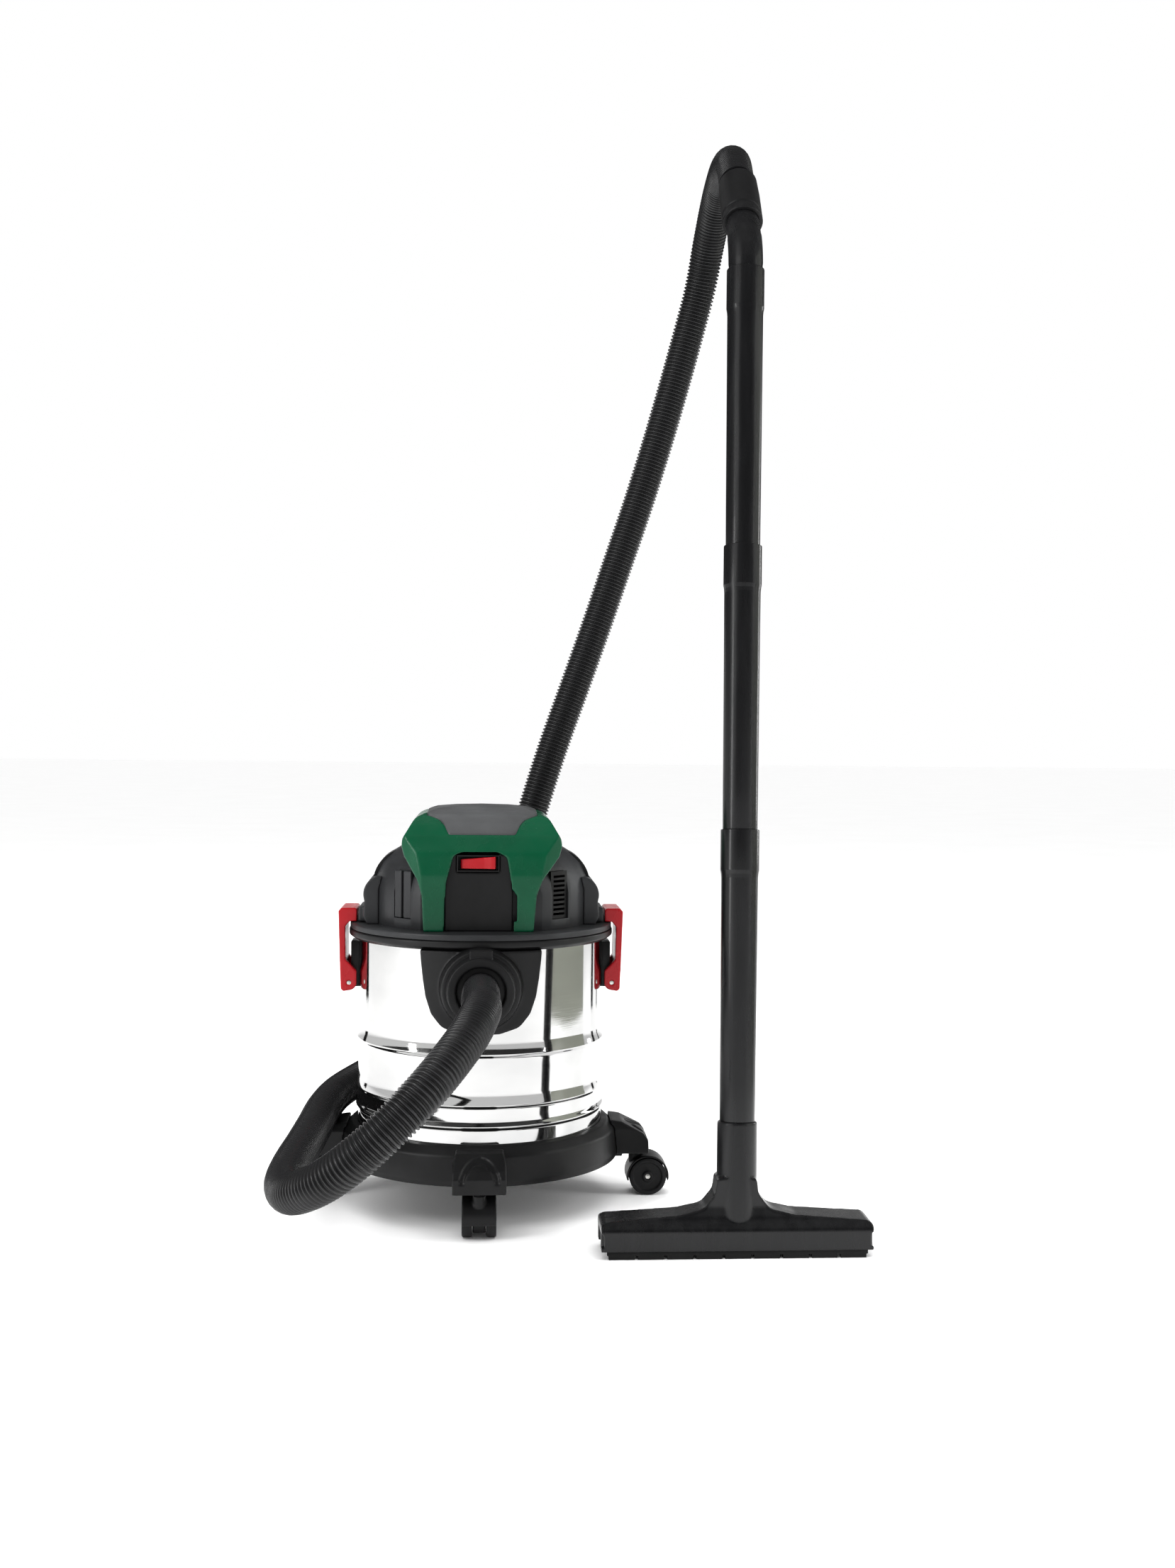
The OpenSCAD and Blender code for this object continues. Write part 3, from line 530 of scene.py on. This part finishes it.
# ---------------------------------------------------------------- casters
SIDES = ("front", "left", "right", "rear")
facing_of = {"front": 270, "left": 180, "right": 0, "rear": 90}
stem = (middle("right_caster_wheels") - axis).x * 1000 - 14


def arm_outline(inset):
    """A caster arm seen from its side, set in from the outside."""
    return [(100, 20), (100, 88 - inset), (stem - 17, 86 - inset), (stem + 8 - inset * 0.6, 73 - inset * 0.8),
            (stem + 13 - inset, 66 - inset * 0.4), (stem + 14 - inset, 20)]


for side in SIDES:
    turned = on_axis @ Matrix.Rotation(math.radians(facing_of[side]), 4, "Z")
    outward = turned @ Matrix.Translation((0, 0, 0.062)) @ Matrix.Rotation(math.radians(90), 4, "Y")
    arch = temporary(lathe([(15.5, 140), (21.5, 140), (21.5, 210), (15.5, 210)], outward, 64))
    under = prism([(-40, 0), (40, 0), (40, 61), (-40, 61)], 100, 230, "X", turned)
    groove = combined(arch, ("DIFFERENCE", prism(arm_outline(2.2), -40, 40, "Y", turned)),
                      ("DIFFERENCE", under))
    rim = prism(mirrored([(0, 30), (28.5, 30), (28.5, 76), (24, 90), (0, 90)]), 100, 230, "X", turned)
    node = side + "_caster_bracket"
    arm = combined(temporary(cad_copy([node])), ("DIFFERENCE", groove), ("INTERSECT", rim))
    add_piece(side + "_arm_moulding", cast(arm, 0.0011, 6), BLACK, "tank", [node])
    soften(side + "_caster_fork", 0.0009, 6)
    bevelled(side + "_caster_wheels", 0.0014, 3)
    bevelled(side + "_caster_axle", 0.0004)

# ---------------------------------------------------------------- motor head
bevelled("motor_housing", 0.0012, 2)
soften("side_cover_left", 0.0012, 8)
soften("side_cover_right", 0.0012, 8)
dome = temporary(lathe([(0, 300), (122.4, 300), (122.4, 352), (119.4, 366), (112.4, 380.3), (100.3, 392.3),
                        (84.3, 402.3), (60, 409.4), (0, 409.4)], on_axis, 160))
cover_front = rounded(
    [(34, 313), (56, 313), (59, 352), (65, 368), (83.5, 392), (86.5, 403), (86, 411), (73, 433),
     (60, 438.5), (-60, 438.5), (-73, 433), (-86, 411), (-86.5, 403), (-83.5, 392), (-69, 368), (-64, 352),
     (-62, 313), (-40, 313), (-38, 366), (-30, 395), (-20, 398), (16, 398), (27, 393), (32, 362)],
    [0.5, 0.5, 14, 10, 10, 6, 10, 14, 10, 10, 14, 10, 6, 10, 10, 14, 0.5, 0.5, 20, 9, 8, 8, 9, 20],
    closed=True)
cover_side = rounded(
    [(-118, 313), (-117, 372), (-113, 397), (-103, 415), (-90, 427), (-72, 435), (-50, 438.5), (54, 438.5),
     (72, 424), (76, 396), (-92, 396), (-103, 390), (-103, 313)],
    [0.5, 20, 16, 14, 12, 14, 14, 12, 10, 2, 6, 4, 0.5], closed=True)
cover_top = rounded(
    [(-62, -119), (62, -119), (92, -96), (92, 60), (76, 78), (-76, 78), (-92, 60), (-92, -96)],
    [14, 14, 22, 14, 10, 10, 14, 22], closed=True)


def cap_plan(g):
    """The cap seen from above, grown by g all round."""
    return rounded(
        [(-36 - g, -101 - g), (36 + g, -101 - g), (46 + g, -80), (60 + g, -68), (63 + g, 56),
         (52, 67 + g), (-52, 67 + g), (-63 - g, 56), (-60 - g, -68), (-46 - g, -80)],
        [3, 3, 4, 6, 8, 6, 6, 8, 6, 4], closed=True)


under_cap = [(y, z - 1.6) for y, z in cover_side[:-12]] + [(90, 300)]
cap_recess = combined(prism(cap_plan(0.9), 400, 450, "Z"), ("DIFFERENCE", prism(under_cap, -100, 100, "X")))
cover = combined(prism(cover_front, -130, 90), ("INTERSECT", prism(cover_side, -100, 100, "X")),
                 ("INTERSECT", prism(cover_top, 300, 450, "Z")), ("DIFFERENCE", dome),
                 ("DIFFERENCE", cap_recess))
add_piece("green_cover_moulding", cast(cover, 0.0012, 6), GREEN, "motor_head",
          ["green_cover"])

cap_front = mirrored([(0, 405), (64, 405), (63.5, 437), (52, 441.5), (30, 444), (0, 445)])
cap_side = rounded(
    [(-120, 398), (-103, 415.5), (-90, 428), (-72, 436.6), (-50, 441), (-10, 445), (20, 445), (56, 440),
     (70, 430), (70, 405), (-80, 405)],
    [2, 10, 12, 14, 14, 14, 14, 10, 4, 2, 2], closed=True)
cap = combined(prism(cap_front, -130, 90), ("INTERSECT", prism(cap_side, -90, 90, "X")),
               ("INTERSECT", prism(cap_plan(0), 400, 450, "Z")))
add_piece("top_cap_moulding", cast(cap, 0.0012, 6), GREY, "motor_head", ["top_cap"])
plain_panel = combined(temporary(cad_copy(["front_panel"])),
                       ("INTERSECT", prism([(-60, 300), (33.4, 300), (33.4, 450), (-60, 450)], -140, 0)))
add_piece("front_panel_moulding", cast(plain_panel, 0.0011, 6), BLACK, "motor_head",
          ["front_panel"])
grille = bmesh.new()
grille.from_mesh(cad_copy(["vent_grilles"]))
bmesh.ops.delete(grille, geom=[v for v in grille.verts if v.co.x < axis.x], context="VERTS")
grille_mesh = bpy.data.meshes.new("grille")
grille.to_mesh(grille_mesh)
grille.free()
smooth(grille_mesh, 30)
add_piece("right_vent", grille_mesh, BLACK, "motor_head", ["vent_grilles"])
left_way = on_axis @ Matrix.Rotation(math.radians(225), 4, "Z")
plate = [(-12.9, 324.1), (12.9, 324.1), (12.9, 375.9), (-12.9, 375.9)]
seam = [(-1.6, 318), (1.6, 318), (1.6, 380), (-1.6, 380)]
panel = combined(prism(plate, 108, 122.4, "X", left_way),
                 ("DIFFERENCE", prism(seam, 117.5, 130, "X", left_way)),
                 ("INTERSECT", drum_shape(121.6, 300, 400)))
add_piece("left_panel", cast(panel, 0.0008, 4), DARK, "motor_head", ())
bevelled("blower_port", 0.0010)
bevelled("cable_gland", 0.0008)
bevelled("switch_housing", 0.0007, 3)
key_low, key_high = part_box("rocker_switch")
key_mid = (key_low + key_high) / 2
key_plan = rounded([(-19, 0), (-19, -5.5), (-8, -8.5), (6, -10.5), (14, -14.6), (18.4, -15.2), (19.2, 0)],
                   [1, 2.5, 4, 4, 4, 2.5, 1], closed=True)
key = combined(prism(key_plan, -6.8, 6.8, "Z", Matrix.Translation((key_mid.x, key_high.y, key_mid.z))))
key_mesh = cast(key, 0.0005, 5)
for v in key_mesh.vertices:
    # the key is pinched towards its left end and rides up at its right
    run = (v.co.x - key_mid.x) / 0.019
    v.co.z = key_mid.z + (v.co.z - key_mid.z) * (0.86 + 0.10 * run) + 0.0009 * run
add_piece("rocker_key", key_mesh, RED, "rocker", ["rocker_switch"])

# ---------------------------------------------------------------- wand
low_tube, top_tube = middle("lower_tube"), middle("upper_tube")
along = (top_tube - low_tube).normalized()
pitch = (top_tube - low_tube).length / 2 * 1000
spigot, neck_top = 34.0, 92.0
foot = low_tube - along * (neck_top + (pitch - spigot) / 2) / 1000
side_way = Vector((along.z, 0, -along.x)).normalized()
wand = Matrix((side_way, along.cross(side_way), along)).transposed().to_4x4()
wand.translation = foot
for i, n in enumerate(("lower_tube", "middle_tube", "upper_tube")):
    z0, z1 = neck_top + i * pitch, neck_top + (i + 1) * pitch
    tube_outline = rounded([(15, z0 - spigot), (16.9, z0 - spigot), (16.95, z0), (18, z0), (18.25, z0 + 40),
                            (19.0, z1 - 50), (19.3, z1 - 46), (20, z1 - 42), (20, z1), (17, z1),
                            (17, z1 - 35), (15, z1 - 38)],
                           [0.4, 0.6, 0, 0.5, 0, 1, 1, 1.5, 0.9, 0.4, 0.3, 0.3], closed=True)
    add_piece(n + "_drawn", lathe(tube_outline, wand, 96, 28), TUBE, "wand", [n])


bend_start, bend_radius, bend_angle = neck_top + 3 * pitch + 4, 70.0, 32.0
grip_length, cuff_length = 24.0, 72.0
grip = (wand @ Matrix.Translation((0, bend_radius / 1000, bend_start / 1000))
        @ Matrix.Rotation(math.radians(-bend_angle), 4, "X")
        @ Matrix.Translation((0, -bend_radius / 1000, 0)))


def handle_path():
    """The handle's line with its outside radius: a spigot, the bend and the grip."""
    rows = [(bend_start - 4 - spigot, 16.9), (bend_start - 4.2, 16.9), (bend_start - 4, 18), (bend_start, 18)]
    line = [(wand @ Vector((0, 0, z / 1000)), r) for z, r in rows]
    for k in range(1, 13):
        a = math.radians(bend_angle * k / 12)
        p = Vector((0, bend_radius * (1 - math.cos(a)), bend_start + bend_radius * math.sin(a))) / 1000
        line.append((wand @ p, 18.4 if k < 12 else 18))
    line += [(grip @ Vector((0, 0, z / 1000)), 18) for z in (8, grip_length, grip_length + 20)]
    return line


line = handle_path()
form_path, form_radii = [p for p, r in line], [r / 1000 for p, r in line]
inner_radii = [0.015] * len(line)


def pipe(path, outer, inner, sides=64):
    """A closed tube along a path, with an outside and an inside radius at each point."""
    form = bmesh.new()
    last = len(path) - 1
    headings = [(path[min(i + 1, last)] - path[max(i - 1, 0)]).normalized() for i in range(len(path))]
    u, frames = headings[0].orthogonal().normalized(), []
    for t in headings:
        u = (u - t * u.dot(t)).normalized()
        frames.append((u.copy(), t.cross(u)))

    def ring(i, r):
        a, b = frames[i]
        turns = [2 * math.pi * k / sides for k in range(sides)]
        return [form.verts.new(path[i] + (a * math.cos(t) + b * math.sin(t)) * r) for t in turns]

    rings = [ring(i, r) for i, r in enumerate(outer)] + [ring(i, inner[i]) for i in range(last, -1, -1)]
    for a, b in zip(rings, rings[1:] + rings[:1]):
        for k in range(sides):
            n = (k + 1) % sides
            form.faces.new((a[k], a[n], b[n], b[k]))
    bmesh.ops.recalc_face_normals(form, faces=form.faces)
    mesh = bpy.data.meshes.new("pipe")
    form.to_mesh(mesh)
    form.free()
    smooth(mesh, 32)
    return mesh


add_piece("handle_pipe", pipe(form_path, form_radii, inner_radii), TUBE, "wand",
          ["handle_tube"])
g = grip_length
cuff_outline = rounded([(18.05, g), (21.4, g), (22, g + 1.5), (22, g + 8), (21.2, g + 9.5), (21.2, g + 12),
                        (22, g + 13.5), (22, g + 44), (21, g + cuff_length), (16.5, g + cuff_length),
                        (16.5, g + 20), (18.05, g + 20)],
                       [0.2, 0.6, 0.6, 0.6, 0.5, 0.5, 0.6, 2, 1.5, 0.5, 0.2, 0.2], closed=True)
add_piece("cuff_moulding", lathe(cuff_outline, grip, 96, 28), BLACK, "wand", ["hose_cuff"])
nozzle_mid = middle("floor_nozzle")
half_wide = (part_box("floor_nozzle")[1].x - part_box("floor_nozzle")[0].x) * 500
under_nozzle = Matrix.Translation((nozzle_mid.x, axis.y, 0))
body_half = rounded([(0, 8), (half_wide, 8), (half_wide, 33), (half_wide - 5, 36), (60, 41), (34, 47),
                     (22, 62), (20, 78), (0, 78)],
                    [0, 1, 3, 3, 20, 16, 14, 4, 0])
body_side = rounded([(-250, 8), (-194, 8), (-194, 27), (-203, 37), (-207, 50), (-207, 84), (-237, 84),
                     (-237, 50), (-241, 37), (-250, 30)], [1, 1, 5, 6, 4, 1, 1, 4, 12, 8], closed=True)
inside = half_wide - 4
hollow = prism([(-inside, 0), (inside, 0), (inside, 28), (-inside, 28)], -240, -204, "Y", under_nozzle)
neck = [(0, -10), (20.4, -10), (20.4, neck_top - 1), (19.6, neck_top), (0, neck_top)]
throat = [(0, -14), (15, -14), (15, neck_top + 5), (0, neck_top + 5)]
steps = [("INTERSECT", prism(body_side, -150, 150, "X", under_nozzle)),
         ("UNION", temporary(lathe(neck, wand, 96))),
         ("DIFFERENCE", hollow),
         ("DIFFERENCE", temporary(lathe(throat, wand, 64)))]
for way in (-1, 1):
    # an air notch in each end, and a bite out of each front corner
    for bite, near, far in (([(-9, 5), (5, 5), (5, 23), (-4, 23)], -236, -208),
                            ([(-3, 12), (5, 12), (5, 30), (-3, 25)], -260, -243)):
        edge = [(way * (half_wide + x), z) for x, z in bite][::way]
        steps.append(("DIFFERENCE", prism(edge, near, far, "Y", under_nozzle)))
nozzle = combined(prism(mirrored(body_half), -250, -194, "Y", under_nozzle), *steps)
add_piece("nozzle_moulding", cast(nozzle, 0.0012, 5), TUBE, "wand", ["floor_nozzle"])
bevelled("nozzle_lips", 0.0005)

# ---------------------------------------------------------------- hose
hose_route = [
    (0, -168, 257), (0, -235, 257), (0, -290, 256), (-14, -351, 240), (-47, -398, 206),
    (-90, -417, 165), (-133, -406, 128), (-168, -368, 104), (-184, -308, 95),
    (-186, -240, 95), (-182, -165, 97), (-178, -90, 100), (-175, -20, 102.5), (-165, 45, 106),
    (-140, 100, 113), (-100, 148, 126), (-54, 180, 155), (-13, 202, 204), (17, 207, 272),
    (41, 209, 350), (64, 208, 430), (89, 209, 510), (117, 211, 590), (143, 213, 665),
    (168, 214, 740), (193, 214, 815), (216, 212, 890), (237, 208, 965), (254, 202, 1030),
    (267, 190, 1085), (274, 163, 1136), (278, 116, 1174), (279, 58, 1187),
    (278, -1, 1174), (275.5, -48.2, 1136)]


def through(points, steps):
    """A smooth line through the points."""
    pts = [Vector(p) for p in points]
    pts = [2 * pts[0] - pts[1]] + pts + [2 * pts[-1] - pts[-2]]
    out = []
    for i in range(1, len(pts) - 2):
        a, b, c, d = pts[i - 1:i + 3]
        for k in range(steps):
            t = k / steps
            out.append(0.5 * (2 * b + (c - a) * t + (2 * a - 5 * b + 4 * c - d) * t * t
                              + (3 * b - a - 3 * c + d) * t ** 3))
    return out + [pts[-2]]


hose_line = [at(*p) for p in through(hose_route, 12)]


def hose_tree():
    """Ribs of a set pitch along a curve: the radius rises and falls with the length travelled."""
    tree = bpy.data.node_groups.new("ribbed_hose", "GeometryNodeTree")
    tree.interface.new_socket("Geometry", in_out="INPUT", socket_type="NodeSocketGeometry")
    for name, value in (("Rib Pitch", 0.0044), ("Crest Radius", 0.0199), ("Root Radius", 0.0168)):
        tree.interface.new_socket(name, in_out="INPUT", socket_type="NodeSocketFloat").default_value = value
    tree.interface.new_socket("Sides", in_out="INPUT", socket_type="NodeSocketInt").default_value = 24
    tree.interface.new_socket("Finish", in_out="INPUT", socket_type="NodeSocketMaterial")
    tree.interface.new_socket("Geometry", in_out="OUTPUT", socket_type="NodeSocketGeometry")
    new, link = tree.nodes.new, tree.links.new
    given, result = new("NodeGroupInput"), new("NodeGroupOutput")

    def maths(kind, a, b=None):
        node = new("ShaderNodeMath")
        node.operation = kind
        for socket, value in zip(node.inputs, (a, b)):
            if value is None:
                continue
            if isinstance(value, (int, float)):
                socket.default_value = value
            else:
                link(value, socket)
        return node.outputs[0]

    cut = new("GeometryNodeResampleCurve")
    cut.mode = "LENGTH"
    link(given.outputs["Geometry"], cut.inputs["Curve"])
    link(maths("DIVIDE", given.outputs["Rib Pitch"], 6.0), cut.inputs["Length"])
    travelled = new("GeometryNodeSplineParameter").outputs["Length"]
    ribs_passed = maths("DIVIDE", travelled, given.outputs["Rib Pitch"])
    wave = maths("COSINE", maths("MULTIPLY", ribs_passed, 2 * math.pi))
    crest = maths("POWER", maths("ADD", maths("MULTIPLY", wave, 0.5), 0.5), 0.7)
    depth = maths("SUBTRACT", given.outputs["Crest Radius"], given.outputs["Root Radius"])
    radius = maths("ADD", given.outputs["Root Radius"], maths("MULTIPLY", crest, depth))
    sized = new("GeometryNodeSetCurveRadius")
    link(cut.outputs["Curve"], sized.inputs["Curve"])
    link(radius, sized.inputs["Radius"])
    ring = new("GeometryNodeCurvePrimitiveCircle")
    ring.inputs["Radius"].default_value = 1.0
    link(given.outputs["Sides"], ring.inputs["Resolution"])
    skin = new("GeometryNodeCurveToMesh")
    link(ring.outputs["Curve"], skin.inputs["Profile Curve"])
    if "Scale" in skin.inputs:
        link(radius, skin.inputs["Scale"])
    skin.inputs["Fill Caps"].default_value = True
    # the rib height goes to the hose material, which uses it to paint shade into the grooves
    keep = new("GeometryNodeStoreNamedAttribute")
    keep.data_type, keep.domain = "FLOAT", "POINT"
    keep.inputs["Name"].default_value = "rib_height"
    link(sized.outputs["Curve"], keep.inputs["Geometry"])
    link(crest, keep.inputs["Value"])
    link(keep.outputs["Geometry"], skin.inputs["Curve"])
    shade = new("GeometryNodeSetShadeSmooth")
    link(skin.outputs["Mesh"], shade.inputs["Geometry"])
    real = new("GeometryNodeRealizeInstances")
    link(shade.outputs["Geometry"], real.inputs["Geometry"])
    paint = new("GeometryNodeSetMaterial")
    link(real.outputs["Geometry"], paint.inputs["Geometry"])
    link(given.outputs["Finish"], paint.inputs["Material"])
    link(paint.outputs["Geometry"], result.inputs["Geometry"])
    return tree


def curve_of(points, name):
    curve = bpy.data.curves.new(name, "CURVE")
    curve.dimensions = "3D"
    spline = curve.splines.new("POLY")
    spline.points.add(len(points) - 1)
    for slot_point, p in zip(spline.points, points):
        slot_point.co = (*p, 1)
    piece = bpy.data.objects.new(name, curve)
    scene.collection.objects.link(piece)
    return piece


def grown(piece, tree, name, **inputs):
    """The piece's mesh as the node tree makes it."""
    grow = piece.modifiers.new("grow", "NODES")
    grow.node_group = tree
    for item in tree.interface.items_tree:
        if item.in_out == "INPUT" and item.name.replace(" ", "_").lower() in inputs:
            grow[item.identifier] = inputs[item.name.replace(" ", "_").lower()]
    return evaluated(piece, name)


hose_mesh = grown(curve_of(hose_line, "hose_line"), hose_tree(), "hose_ribs", finish=HOSE)
hose = add_piece("ribbed_hose", hose_mesh, HOSE, None, ["hose"])
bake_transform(hose)

# ---------------------------------------------------------------- floor
bpy.ops.mesh.primitive_plane_add(size=60, location=(0, 0, 0))
floor = bpy.context.object
floor.name = "floor"
floor.data.materials.append(floor_look.mat)

# ---------------------------------------------------------------- what the gloss mirrors
dim_card = Look("dim_card", (0.05, 0.05, 0.05), 1.0, specular=0.0).mat
ceiling = temporary(lathe([(3300, 900), (3300, 3500), (0, 3500)], on_axis, 64))
ceiling.name = "ceiling_card"
unseen(ceiling, dim_card)
shade_card = Look("shade_card", (0.004, 0.004, 0.004), 1.0, specular=0.0).mat
grey_card = Look("grey_card", (0.30, 0.31, 0.27), 1.0, specular=0.0).mat
flag("card_right", 62, 1.9, 0.10, 0.0, 2.6, shade_card)
flag("card_far_right", 86, 1.3, 1.0, 0.0, 1.6, grey_card)
flag("card_edge", 124, 1.4, 0.10, 0.0, 2.6, shade_card)
flag("card_edge_thin", 136, 1.4, 0.05, 0.0, 2.6, shade_card)
flag("card_left", -128, 1.5, 0.16, 0.0, 2.6, shade_card)
glow = Look("glow_card", (0.9, 0.9, 0.9), 1.0, specular=0.0)
glow.shader.inputs["Emission Color"].default_value = (1, 1, 1, 1)
glow.shader.inputs["Emission Strength"].default_value = 9.0
flag("glow_right", 62, 2.6, 0.16, 0.3, 3.0, glow.mat)
flag("glow_left", -64, 2.6, 0.30, 0.3, 3.0, glow.mat)
flag("glow_edge", 118, 2.6, 0.22, 0.3, 3.0, glow.mat)
